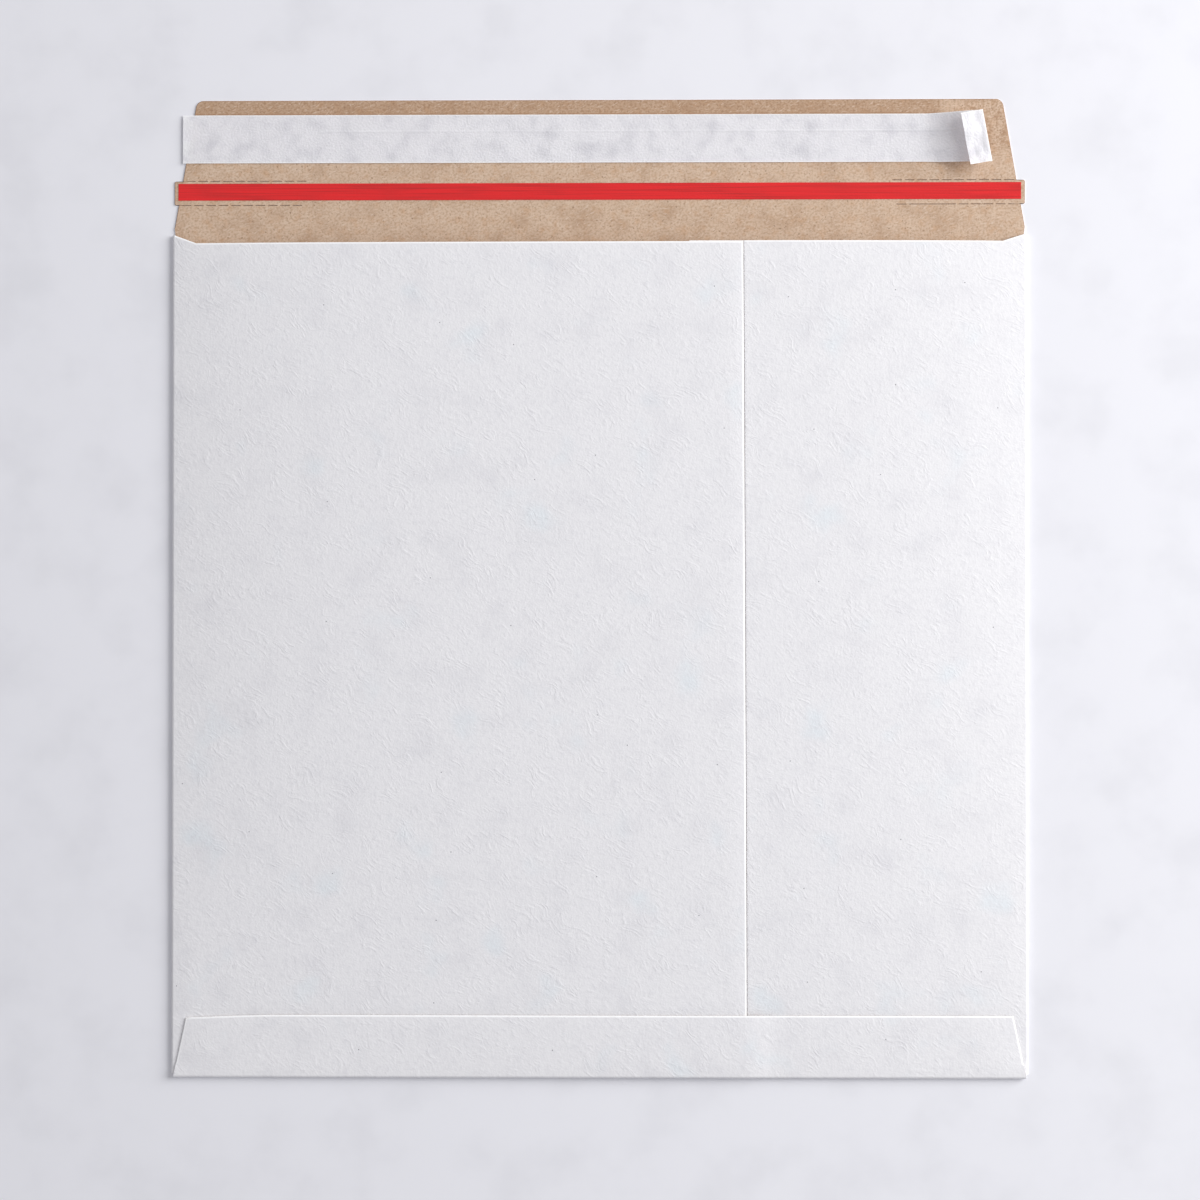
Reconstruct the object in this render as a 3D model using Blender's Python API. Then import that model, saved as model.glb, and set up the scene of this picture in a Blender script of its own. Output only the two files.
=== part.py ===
"""Rigid board calendar envelope, lying on its back with the closing flap open.

One die-cut blank of solid board, white outside and brown kraft inside, is folded round
both sides and the bottom. The wide left front panel is glued over the narrower right one,
and the bottom flap is glued over both. The closing flap carries a perforated tear strip
with a tear tape, and a self-seal strip under a release liner whose end is peeled back.

X runs across the envelope, Y from the bottom fold towards the closing flap, and Z up from
the surface that the back panel lies on. The origin is under the middle of the open
envelope. In the functions, up is the distance from the bottom fold along Y.
"""

import math

import bmesh
import bpy
from mathutils import Matrix

MM = 0.001

# Board and the thin layers on it
BOARD = 0.5 * MM
GLUE_LINE = 0.1 * MM
TAPE_THICKNESS = 0.1 * MM
ADHESIVE_THICKNESS = 0.1 * MM
LINER_THICKNESS = 0.08 * MM
LAYER_CLEARANCE = 0.05 * MM

# Body
BODY_WIDTH = 345.0 * MM
BODY_HEIGHT = 340.0 * MM  # bottom fold to the notches where the closing flap starts
MOUTH_DROP = 2.8 * MM  # the front panels' mouth edge lies this far below the notches
MOUTH_BEVEL = 9.6 * MM  # width of each slanted corner of the mouth edge
RIGHT_PANEL_SHOWN = 114.0 * MM  # seam to the right side fold
SEAM_OVERLAP = 22.0 * MM
PANEL_LIFT_RUN = 150.0 * MM  # stretch over which the left panel rises onto the right one
SIDE_FOLD_GAP = 1.0 * MM  # clear height inside a side fold
MOUTH_GAPE = 5.0 * MM  # clear height in the middle of the mouth
GAPE_ACROSS = 4.0  # a high exponent gives a flat middle and steep sides
GAPE_ALONG = 3.5
BOTTOM_FOLD_REACH = 1.1 * MM
PANEL_TUCK = 0.5 * MM  # clearance of the front panels' lower edges inside the bottom fold

# Bottom flap
BOTTOM_FLAP_HEIGHT = 25.3 * MM
BOTTOM_FLAP_INSET = 5.0 * MM  # slant of each side edge
SEAM_STEP_RUN = 14.0 * MM  # stretch over which the flap steps down past the seam

# Closing flap, with heights counted from the notches
FLAP_HEIGHT = 54.8 * MM
FLAP_SHOULDER = 0.9 * MM  # the side edges, drawn on to the notches, end this far outside the back panel
FLAP_INSET = 9.5 * MM  # slant of each side edge
FLAP_CORNER_RADIUS = 3.0 * MM
CREASE_SETBACK = 3.0 * MM  # notches to the middle of the crease
CREASE_GAP = 0.3 * MM
CLOSED_CLEARANCE = 0.3 * MM  # closed flap to the front panels

# Tear strip
STRIP_START = 12.3 * MM
STRIP_WIDTH = 9.8 * MM
TAB_INSET = 0.55 * MM  # strip end to the line of the side fold
TAB_CORNER_RADIUS = 0.8 * MM
SLIT_LENGTH = 3.7 * MM
SLIT_WIDTH = 0.3 * MM
SLIT_TIE = 1.3 * MM
SLITS_PER_LINE = 10
TAPE_WIDTH = 6.8 * MM
TAPE_MARGIN = 2.0 * MM  # lower perforation to the tape
TAPE_END_MARGIN = 1.6 * MM

# Self-seal strip and its liner
LINER_START = 29.35 * MM
LINER_WIDTH = 19.5 * MM
LINER_OVERHANG = 1.2 * MM  # past the flap's left edge, at the liner's lower corner
ADHESIVE_WIDTH = 17.5 * MM
ADHESIVE_END_MARGIN = 2.0 * MM
TAIL_INSET = 9.8 * MM  # flap's right edge to the fold of the peeled end
TAIL_RUN = 24.0 * MM  # stretch over which the liner leaves the flap
TAIL_RISE = 1.8 * MM
TAIL_FOLD_RADIUS = 0.5 * MM
TAIL_TILT = math.radians(10.4)
TAIL_PITCH = math.radians(18.0)
TAIL_LENGTH = 8.8 * MM
TAIL_WIDTH = 21.1 * MM

# Glue between the layers of the body
SEAM_GLUE_MARGIN = 4.0 * MM  # to the panels' edges along the seam
GLUE_END_MARGIN = 6.0 * MM  # to the ends of the seam, and to the bottom flap's edges

# Fineness of the meshes
FOLD_STEPS = 8
PANEL_ROWS = 14
LEFT_COLUMNS = 12  # left side fold to the edge hidden in the seam
SEAM_COLUMNS = 2
STEP_COLUMNS = 4
RIGHT_COLUMNS = 6  # end of the bottom flap's step to the right side fold
BOTTOM_FLAP_ROWS = 3
GLUE_ROWS = 2
GLUE_COLUMNS = 2
CORNER_STEPS = 6
LINER_COLUMNS = 4
RISE_STEPS = 6
TAIL_ROWS = 2
SHARP_ANGLE = math.radians(40.0)
WELD = 0.001 * MM

# Places that follow from the sizes above
BACK_Z = BOARD / 2  # middle of the back panel's board
SIDE_RADIUS = (BOARD + SIDE_FOLD_GAP) / 2  # middle of the board round a side fold
PANEL_HALF = BODY_WIDTH / 2 - BOARD / 2 - SIDE_RADIUS
GLUED_LAYER = BOARD + GLUE_LINE + 2 * LAYER_CLEARANCE
MOUTH_UP = BODY_HEIGHT - MOUTH_DROP
BEVEL_X = BODY_WIDTH / 2 - MOUTH_BEVEL
SEAM_X = BODY_WIDTH / 2 - RIGHT_PANEL_SHOWN
HIDDEN_EDGE_X = SEAM_X - SEAM_OVERLAP
STEP_END_X = SEAM_X + SEAM_STEP_RUN
PANEL_START = BOTTOM_FOLD_REACH + PANEL_TUCK
BOTTOM_Y = -(BODY_HEIGHT + FLAP_HEIGHT) / 2
CREASE_UP = BODY_HEIGHT + CREASE_SETBACK
FLAP_TOP = BODY_HEIGHT + FLAP_HEIGHT
STRIP_LOW = BODY_HEIGHT + STRIP_START
STRIP_HIGH = STRIP_LOW + STRIP_WIDTH
TAB_X = BODY_WIDTH / 2 - TAB_INSET
LINER_LOW = BODY_HEIGHT + LINER_START
LINER_MID = LINER_LOW + LINER_WIDTH / 2
LAYER_Z = BOARD + LAYER_CLEARANCE  # underside of what is stuck on the flap
LINER_Z = LAYER_Z + ADHESIVE_THICKNESS + LAYER_CLEARANCE + LINER_THICKNESS / 2


def smooth(share):
    """An even start and stop between 0 and 1."""
    share = min(max(share, 0.0), 1.0)
    return share * share * (3 - 2 * share)


def spaced(start, end, steps):
    """Evenly spaced values from start to end, both included."""
    return [start + (end - start) * i / steps for i in range(steps + 1)]


def gape(x, up):
    """Clear height inside the envelope at a place."""
    across = 1 - (min(abs(x), PANEL_HALF) / PANEL_HALF) ** GAPE_ACROSS
    along = 1 - (1 - min(max(up, 0.0), MOUTH_UP) / MOUTH_UP) ** GAPE_ALONG
    return SIDE_FOLD_GAP + (MOUTH_GAPE - SIDE_FOLD_GAP) * across * along


def right_panel_z(x, up):
    """Middle of the board of the right front panel, the one under the seam."""
    return BACK_Z + BOARD + gape(x, up)


def left_panel_z(x, up):
    """Middle of the board of the left front panel, which rises onto the right one."""
    lift = smooth((x - HIDDEN_EDGE_X + PANEL_LIFT_RUN) / PANEL_LIFT_RUN)
    return right_panel_z(x, up) + GLUED_LAYER * lift


def bottom_flap_z(x, up):
    """Middle of the board of the bottom flap, which lies on both front panels."""
    if x <= SEAM_X:
        return left_panel_z(x, up) + GLUED_LAYER
    step = GLUED_LAYER * (1 - smooth((x - SEAM_X) / SEAM_STEP_RUN))
    return right_panel_z(x, up) + step + GLUED_LAYER


def mouth_edge(x):
    """Height of the front panels' upper edge, with its slanted corners."""
    if abs(x) <= BEVEL_X:
        return MOUTH_UP
    return MOUTH_UP + MOUTH_DROP * (abs(x) - BEVEL_X) / (PANEL_HALF - BEVEL_X)


def flap_half(up):
    """Half the closing flap's width at a height, along its slanted sides."""
    return PANEL_HALF + FLAP_SHOULDER - FLAP_INSET * (up - BODY_HEIGHT) / FLAP_HEIGHT


def bottom_flap_half(up):
    """Half the bottom flap's width at a height, along its slanted sides."""
    share = (up - BOTTOM_FOLD_REACH) / (BOTTOM_FLAP_HEIGHT - BOTTOM_FOLD_REACH)
    return PANEL_HALF - BOTTOM_FLAP_INSET * share


def drawn_in(x, half):
    """A panel's line moved in with a slanted edge. Lines near the seam stay where they are."""
    if abs(x) <= STEP_END_X:
        return x
    share = (abs(x) - STEP_END_X) / (PANEL_HALF - STEP_END_X)
    return math.copysign(STEP_END_X + share * (half - STEP_END_X), x)


HINGE_Z = (
    left_panel_z(HIDDEN_EDGE_X, MOUTH_UP) + BOARD / 2 + CLOSED_CLEARANCE + LAYER_Z + TAPE_THICKNESS
) / 2


def material(name, colour, roughness, metallic=0.0):
    """A Principled material."""
    made = bpy.data.materials.new(name)
    made.use_nodes = True
    shader = made.node_tree.nodes["Principled BSDF"]
    shader.inputs["Base Color"].default_value = (*colour, 1.0)
    shader.inputs["Roughness"].default_value = roughness
    shader.inputs["Metallic"].default_value = metallic
    return made


def empty(name, location, parent=None):
    """An empty that carries pieces."""
    made = bpy.data.objects.new(name, None)
    made.location = location
    made.parent = parent
    bpy.context.scene.collection.objects.link(made)
    return made


def piece(name, bm, parent, materials, origin=(0.0, 0.0, 0.0)):
    """An object from a mesh drawn in the envelope's frame, with its origin moved to a point of it."""
    bmesh.ops.remove_doubles(bm, verts=bm.verts, dist=WELD)
    bmesh.ops.transform(bm, matrix=Matrix.Translation(origin).inverted(), verts=bm.verts)
    mesh = bpy.data.meshes.new(name)
    bm.to_mesh(mesh)
    bm.free()
    for entry in materials:
        mesh.materials.append(entry)
    made = bpy.data.objects.new(name, mesh)
    made.parent = parent
    bpy.context.scene.collection.objects.link(made)
    return made


def add_patch(bm, rows):
    """A grid of quads through rows of points."""
    grid = [[bm.verts.new(point) for point in row] for row in rows]
    for low, high in zip(grid, grid[1:]):
        for i in range(len(low) - 1):
            bm.faces.new((low[i], low[i + 1], high[i + 1], high[i]))


def face_first(bm, downwards):
    """Turns an open sheet so that its first face, and with it every other, faces down or up."""
    bmesh.ops.remove_doubles(bm, verts=bm.verts, dist=WELD)
    bmesh.ops.recalc_face_normals(bm, faces=bm.faces)
    bm.faces.ensure_lookup_table()
    if (bm.faces[0].normal.z < 0) != downwards:
        bmesh.ops.reverse_faces(bm, faces=bm.faces)


def thicken(obj, thickness):
    """Gives a sheet drawn along its middle its thickness. Its inner side takes the last material.

    The cut edges keep the first material, and stay sharp beside the smooth folds.
    """
    wall = obj.modifiers.new("thickness", "SOLIDIFY")
    wall.thickness = thickness
    wall.offset = 0.0
    wall.use_even_offset = True
    wall.material_offset = len(obj.data.materials) - 1
    evaluated = obj.evaluated_get(bpy.context.evaluated_depsgraph_get())
    obj.data = bpy.data.meshes.new_from_object(evaluated)
    obj.modifiers.clear()
    obj.data.shade_smooth()
    obj.data.set_sharp_from_angle(angle=SHARP_ANGLE)


def panel_lines():
    """The lines along Y that all layers share, so that their facets lie parallel."""
    left = [-PANEL_HALF, *spaced(-BEVEL_X, HIDDEN_EDGE_X, LEFT_COLUMNS)]
    seam = spaced(HIDDEN_EDGE_X, SEAM_X, SEAM_COLUMNS)
    step = spaced(SEAM_X, STEP_END_X, STEP_COLUMNS)
    right = [*spaced(STEP_END_X, BEVEL_X, RIGHT_COLUMNS), PANEL_HALF]
    return [*left, *seam[1:], *step[1:], *right[1:]]


def panel_rows():
    """The heights that the back panel, the side folds and the front panels share."""
    return spaced(PANEL_START, BODY_HEIGHT, PANEL_ROWS)


def add_back_panel(bm):
    """The back panel, up to the crease of the closing flap."""
    heights = [BOTTOM_FOLD_REACH, *panel_rows(), CREASE_UP - CREASE_GAP / 2]
    rows = []
    for up in heights:
        half = PANEL_HALF if up <= BODY_HEIGHT else flap_half(up)
        rows.append([(drawn_in(x, half), up, BACK_Z) for x in panel_lines()])
    add_patch(bm, rows)


def side_fold(side, up):
    """The points round a side fold, from the back panel to the front panel."""
    turns = spaced(0.0, math.pi, FOLD_STEPS)
    return [
        (side * (PANEL_HALF + SIDE_RADIUS * math.sin(a)), up, BACK_Z + SIDE_RADIUS * (1 - math.cos(a)))
        for a in turns
    ]


def add_front_panel(bm, side, lines, height_of):
    """A side fold and the front panel beyond it. The panel's lines run from the fold to its free edge."""
    rows = []
    for up in panel_rows():
        share = (up - PANEL_START) / (BODY_HEIGHT - PANEL_START)
        row = side_fold(side, up)
        for x in lines[1:]:
            panel_up = PANEL_START + (mouth_edge(x) - PANEL_START) * share
            row.append((x, panel_up, height_of(x, panel_up)))
        rows.append(row)
    add_patch(bm, rows)


def add_bottom_flap(bm):
    """The bottom fold and the flap beyond it, which lies on the front panels."""
    rows = []
    for a in spaced(0.0, math.pi, FOLD_STEPS):
        row = []
        for x in panel_lines():
            half_height = (bottom_flap_z(x, BOTTOM_FOLD_REACH) - BACK_Z) / 2
            up = BOTTOM_FOLD_REACH - (BOTTOM_FOLD_REACH - BOARD / 2) * math.sin(a)
            row.append((x, up, BACK_Z + half_height * (1 - math.cos(a))))
        rows.append(row)
    for up in spaced(BOTTOM_FOLD_REACH, BOTTOM_FLAP_HEIGHT, BOTTOM_FLAP_ROWS)[1:]:
        half = bottom_flap_half(up)
        placed = [drawn_in(x, half) for x in panel_lines()]
        rows.append([(x, up, bottom_flap_z(x, up)) for x in placed])
    add_patch(bm, rows)


def make_envelope_body(parent, faces):
    """The folded blank, without the closing flap."""
    bm = bmesh.new()
    add_back_panel(bm)
    lines = panel_lines()
    left = [x for x in lines if x <= SEAM_X + WELD]
    right = [x for x in reversed(lines) if x >= HIDDEN_EDGE_X - WELD]
    add_front_panel(bm, -1, left, left_panel_z)
    add_front_panel(bm, 1, right, right_panel_z)
    add_bottom_flap(bm)
    face_first(bm, downwards=True)
    body = piece("envelope_body", bm, parent, faces)
    thicken(body, BOARD)
    return body


def filleted(corners):
    """The outline through corners (x, up, radius), with an arc in place of each corner that has a radius."""
    outline = []
    for i, (x, up, radius) in enumerate(corners):
        if radius <= 0:
            outline.append((x, up))
            continue
        before, after = corners[i - 1], corners[(i + 1) % len(corners)]
        start = math.atan2(before[1] - up, before[0] - x)
        end = math.atan2(after[1] - up, after[0] - x)
        opening = (start - end) % (2 * math.pi)
        middle = end + opening / 2
        distance = radius / math.sin(opening / 2)
        centre = (x + distance * math.cos(middle), up + distance * math.sin(middle))
        sweep = math.pi - opening
        for share in spaced(-0.5, 0.5, CORNER_STEPS):
            angle = middle + math.pi + sweep * share
            outline.append((centre[0] + radius * math.cos(angle), centre[1] + radius * math.sin(angle)))
    return outline


def closing_flap_outline():
    """The flap's cut edge, counterclockwise from its crease, with the tabs of the tear strip."""
    crease = CREASE_UP + CREASE_GAP / 2
    right = [
        (flap_half(crease), crease, 0.0),
        (flap_half(STRIP_LOW), STRIP_LOW, 0.0),
        (TAB_X, STRIP_LOW, TAB_CORNER_RADIUS),
        (TAB_X, STRIP_HIGH, TAB_CORNER_RADIUS),
        (flap_half(STRIP_HIGH), STRIP_HIGH, 0.0),
        (flap_half(FLAP_TOP), FLAP_TOP, FLAP_CORNER_RADIUS),
    ]
    left = [(-x, up, radius) for x, up, radius in reversed(right)]
    return filleted([*right, *left])


def slit_places():
    """The middle of each perforation slit. They run in from both ends of the strip, along both its edges."""
    pitch = SLIT_LENGTH + SLIT_TIE
    for up in (STRIP_LOW, STRIP_HIGH):
        outermost = flap_half(up) - SLIT_TIE - SLIT_LENGTH / 2
        for i in range(SLITS_PER_LINE):
            yield outermost - i * pitch, up
            yield i * pitch - outermost, up


def make_slit_cutter(parent, origin):
    """One block for each slit, longer than the board is thick."""
    bm = bmesh.new()
    size = Matrix.Diagonal((SLIT_LENGTH, SLIT_WIDTH, 4 * BOARD, 1.0))
    for x, up in slit_places():
        bmesh.ops.create_cube(bm, size=1.0, matrix=Matrix.Translation((x, up, BACK_Z)) @ size)
    cutter = piece("slit_cutter", bm, parent, [], origin)
    cutter.hide_render = True
    cutter.display_type = "WIRE"
    return cutter


def make_closing_flap(parent, origin, faces):
    """The closing flap, a flat board with its outline, rounded corners and perforated tear strip."""
    bm = bmesh.new()
    outer = bm.faces.new([bm.verts.new((x, up, 0.0)) for x, up in closing_flap_outline()])
    raised = bmesh.ops.extrude_face_region(bm, geom=[outer])["geom"]
    top = [item for item in raised if isinstance(item, bmesh.types.BMVert)]
    bmesh.ops.translate(bm, vec=(0.0, 0.0, BOARD), verts=top)
    bmesh.ops.recalc_face_normals(bm, faces=bm.faces)
    for face in bm.faces:
        face.material_index = 1 if face.normal.z > 0.5 else 0  # the inner side lies up
    flap = piece("closing_flap", bm, parent, faces, origin)
    cut = flap.modifiers.new("perforation", "BOOLEAN")
    cut.operation = "DIFFERENCE"
    cut.solver = "EXACT"
    cut.object = make_slit_cutter(parent, origin)
    return flap


def make_strip(name, parent, origin, ends, edges, heights, finish):
    """A flat strip between two ends along X, two edges along Y, and two heights."""
    bm = bmesh.new()
    size = Matrix.Diagonal((ends[1] - ends[0], edges[1] - edges[0], heights[1] - heights[0], 1.0))
    middle = (sum(ends) / 2, sum(edges) / 2, sum(heights) / 2)
    bmesh.ops.create_cube(bm, size=1.0, matrix=Matrix.Translation(middle) @ size)
    return piece(name, bm, parent, [finish], origin)


def make_tear_tape(parent, origin, finish):
    """The tear tape on the strip, from tab to tab."""
    end = TAB_X - TAPE_END_MARGIN
    low = STRIP_LOW + TAPE_MARGIN
    heights = (LAYER_Z, LAYER_Z + TAPE_THICKNESS)
    return make_strip("tear_tape", parent, origin, (-end, end), (low, low + TAPE_WIDTH), heights, finish)


def tail_fold_middle():
    """Where the fold of the liner's peeled end crosses the liner's centre line."""
    return flap_half(LINER_MID) - TAIL_INSET


def make_closure_adhesive(parent, origin, finish):
    """The self-seal strip under the liner, which stops where the liner's loose end starts."""
    left = -flap_half(LINER_LOW + LINER_WIDTH) + ADHESIVE_END_MARGIN
    right = tail_fold_middle() - TAIL_RUN
    edges = (LINER_MID - ADHESIVE_WIDTH / 2, LINER_MID + ADHESIVE_WIDTH / 2)
    heights = (LAYER_Z, LAYER_Z + ADHESIVE_THICKNESS)
    return make_strip("closure_adhesive", parent, origin, (left, right), edges, heights, finish)


def across_liner(middle, along, half, z):
    """Points from the liner's lower edge to its upper edge, on a line through its middle."""
    return [
        (middle[0] + along[0] * half * share, middle[1] + along[1] * half * share, z)
        for share in spaced(-1.0, 1.0, LINER_COLUMNS)
    ]


def liner_rows():
    """The liner from its left end, over the stretch that leaves the flap, round its fold and back."""
    fold_x = tail_fold_middle()
    flat_end = fold_x - TAIL_RUN
    upright = (0.0, 1.0)
    left_end = -flap_half(LINER_LOW) - LINER_OVERHANG
    rows = [across_liner((left_end, LINER_MID), upright, LINER_WIDTH / 2, LINER_Z)]
    for share in spaced(0.0, 1.0, RISE_STEPS):
        tilt = TAIL_TILT * share
        half = LINER_WIDTH / 2 + (TAIL_WIDTH - LINER_WIDTH) / 2 * share
        along = (-math.sin(tilt), math.cos(tilt))
        z = LINER_Z + TAIL_RISE * share * share
        rows.append(across_liner((flat_end + TAIL_RUN * share, LINER_MID), along, half, z))
    along = (-math.sin(TAIL_TILT), math.cos(TAIL_TILT))
    outward = (math.cos(TAIL_TILT), math.sin(TAIL_TILT))
    slope = math.atan2(2 * TAIL_RISE, TAIL_RUN)
    centre_out = -TAIL_FOLD_RADIUS * math.sin(slope)
    centre_z = LINER_Z + TAIL_RISE + TAIL_FOLD_RADIUS * math.cos(slope)
    end = math.pi - TAIL_PITCH
    path = [
        (centre_out + TAIL_FOLD_RADIUS * math.sin(a), centre_z - TAIL_FOLD_RADIUS * math.cos(a))
        for a in spaced(slope, end, FOLD_STEPS)[1:]
    ]
    fold_out, fold_z = path[-1]
    for length in spaced(0.0, TAIL_LENGTH, TAIL_ROWS)[1:]:
        path.append((fold_out - length * math.cos(TAIL_PITCH), fold_z + length * math.sin(TAIL_PITCH)))
    for out, z in path:
        middle = (fold_x + outward[0] * out, LINER_MID + outward[1] * out)
        rows.append(across_liner(middle, along, TAIL_WIDTH / 2, z))
    return rows


def make_release_liner(parent, origin, finish):
    """The release liner, with its right end peeled up and folded back."""
    bm = bmesh.new()
    add_patch(bm, liner_rows())
    face_first(bm, downwards=False)
    liner = piece("release_liner", bm, parent, [finish], origin)
    thicken(liner, LINER_THICKNESS)
    return liner


def make_glue(name, parent, lines, heights, height_of, finish):
    """A glue line between two boards, halfway from one to the other all over."""
    bm = bmesh.new()
    add_patch(bm, [[(x, up, height_of(x, up) - GLUED_LAYER / 2) for x in lines] for up in heights])
    face_first(bm, downwards=False)
    glue = piece(name, bm, parent, [finish])
    thicken(glue, GLUE_LINE)
    return glue


def make_glue_lines(parent, finish):
    """The hidden glue: one line down the seam, and one under the bottom flap on each front panel."""
    seam_lines = spaced(HIDDEN_EDGE_X + SEAM_GLUE_MARGIN, SEAM_X - SEAM_GLUE_MARGIN, GLUE_COLUMNS)
    seam_rows = spaced(PANEL_START + GLUE_END_MARGIN, MOUTH_UP - GLUE_END_MARGIN, PANEL_ROWS)
    make_glue("seam_glue", parent, seam_lines, seam_rows, left_panel_z, finish)
    flap_rows = spaced(BOTTOM_FOLD_REACH + GLUE_END_MARGIN, BOTTOM_FLAP_HEIGHT - GLUE_END_MARGIN, GLUE_ROWS)
    outer = PANEL_HALF - BOTTOM_FLAP_INSET - GLUE_END_MARGIN
    left_lines = [x for x in panel_lines() if -outer < x < SEAM_X - SEAM_GLUE_MARGIN]
    right_lines = [x for x in panel_lines() if STEP_END_X - WELD < x < outer]
    make_glue("bottom_glue_left", parent, left_lines, flap_rows, bottom_flap_z, finish)
    make_glue("bottom_glue_right", parent, right_lines, flap_rows, bottom_flap_z, finish)


def main():
    """Clears the scene and builds the envelope."""
    for obj in list(bpy.data.objects):
        bpy.data.objects.remove(obj)
    white = material("white_board_face", (0.86, 0.86, 0.88), 0.75)
    kraft = material("kraft_board_face", (0.56, 0.41, 0.29), 0.85)
    glue = material("dried_glue", (0.80, 0.76, 0.64), 0.5)
    seal = material("self_seal_adhesive", (0.85, 0.83, 0.74), 0.35)
    glassine = material("release_paper", (0.84, 0.84, 0.86), 0.45)
    film = material("red_tear_film", (0.75, 0.03, 0.035), 0.35)
    envelope = empty("envelope", (0.0, BOTTOM_Y, 0.0))
    axis = (0.0, CREASE_UP, HINGE_Z)
    hinge = empty("flap_hinge", axis, envelope)
    make_envelope_body(envelope, [white, kraft])
    make_glue_lines(envelope, glue)
    make_closing_flap(hinge, axis, [white, kraft])
    make_tear_tape(hinge, axis, film)
    make_closure_adhesive(hinge, axis, seal)
    make_release_liner(hinge, axis, glassine)


main()
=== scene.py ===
"""Looks of the rigid board calendar envelope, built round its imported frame.

X runs across the envelope, Y from the bottom fold to the closing flap and Z up from the floor, in
metres. While the board and the liner are modelled, Y counts up from the bottom fold. Their meshes
move to their place at the end.
"""

import logging
import math
from dataclasses import dataclass
from enum import Enum
from typing import Callable

import bmesh
import bpy
from mathutils import Matrix, Vector, noise


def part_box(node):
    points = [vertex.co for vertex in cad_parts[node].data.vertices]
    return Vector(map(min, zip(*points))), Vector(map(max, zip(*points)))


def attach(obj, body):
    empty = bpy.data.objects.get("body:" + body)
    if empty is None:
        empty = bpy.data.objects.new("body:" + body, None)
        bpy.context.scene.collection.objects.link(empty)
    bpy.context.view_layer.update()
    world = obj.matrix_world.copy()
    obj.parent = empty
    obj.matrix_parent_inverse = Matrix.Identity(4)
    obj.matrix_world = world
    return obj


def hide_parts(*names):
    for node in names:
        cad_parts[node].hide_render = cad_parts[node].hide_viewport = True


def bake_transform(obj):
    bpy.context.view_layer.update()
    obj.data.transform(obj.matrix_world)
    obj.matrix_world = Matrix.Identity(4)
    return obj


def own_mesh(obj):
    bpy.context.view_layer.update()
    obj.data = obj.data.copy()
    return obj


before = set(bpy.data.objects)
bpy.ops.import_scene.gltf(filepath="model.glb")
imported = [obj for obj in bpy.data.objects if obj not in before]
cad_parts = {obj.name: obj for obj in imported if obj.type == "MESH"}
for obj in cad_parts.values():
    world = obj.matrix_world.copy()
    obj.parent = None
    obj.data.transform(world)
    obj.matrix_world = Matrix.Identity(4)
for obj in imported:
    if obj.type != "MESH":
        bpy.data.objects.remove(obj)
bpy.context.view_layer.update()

log = logging.getLogger("envelope")

MM = 0.001
SHEET = "sheet"  # the UV map that holds each point's place on the unfolded sheet, in metres
CUT = 1e-7  # how close to a bisecting plane a point counts as on it
WELD = 0.002 * MM  # how close two places count as the same

Place = Callable[[Vector], Vector]
Test = Callable[[Vector], bool]
Socket = bpy.types.NodeSocket
Layers = list[tuple[str, Socket]]  # colours as sRGB hex, each with its mask
Reliefs = list[tuple[Socket, float]]  # heights from 0 to 1, each with the real height that 1 stands for


def smooth(share: float) -> float:
    """An even start and stop between 0 and 1."""
    share = min(max(share, 0.0), 1.0)
    return share * share * (3 - 2 * share)


def spaced(start: float, end: float, steps: int) -> list[float]:
    """Evenly spaced values from start to end, both included."""
    return [start + (end - start) * i / steps for i in range(steps + 1)]


def on_plane(axis: int, place: float) -> Test:
    """A test for the points that have a value on an axis, 0 for X, 1 for Y or 2 for Z."""
    return lambda co: abs(co[axis] - place) < WELD


def rough(x: float, y: float, size: tuple[float, float], place: float) -> float:
    """Noise over a sheet, with spots of a size along X and Y, read at a place of its own."""
    return noise.noise(Vector((x / size[0], y / size[1], place)))


def linear(colour: str) -> tuple[float, float, float, float]:
    """An sRGB hex colour, such as #E8E7EB, as linear light."""
    channels = [int(colour[i : i + 2], 16) / 255 for i in (1, 3, 5)]
    light = [c / 12.92 if c <= 0.04045 else ((c + 0.055) / 1.055) ** 2.4 for c in channels]
    return (*light, 1.0)


class Element(Enum):
    """What a selection picks."""

    VERT = "VERT"
    EDGE = "EDGE"
    FACE = "FACE"


class Side(Enum):
    """A side of the envelope, as its sign along X."""

    LEFT = -1
    RIGHT = 1


class Face(Enum):
    """The board's material slots."""

    OUTER = 0
    INNER = 1
    # the cut edges, near-white: the raw cut, partly painted highlight
    CUT = 2
    # crushed kraft edges, and the slits' walls and dents, darker brown: partly painted shade
    CRUSHED = 3


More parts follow.
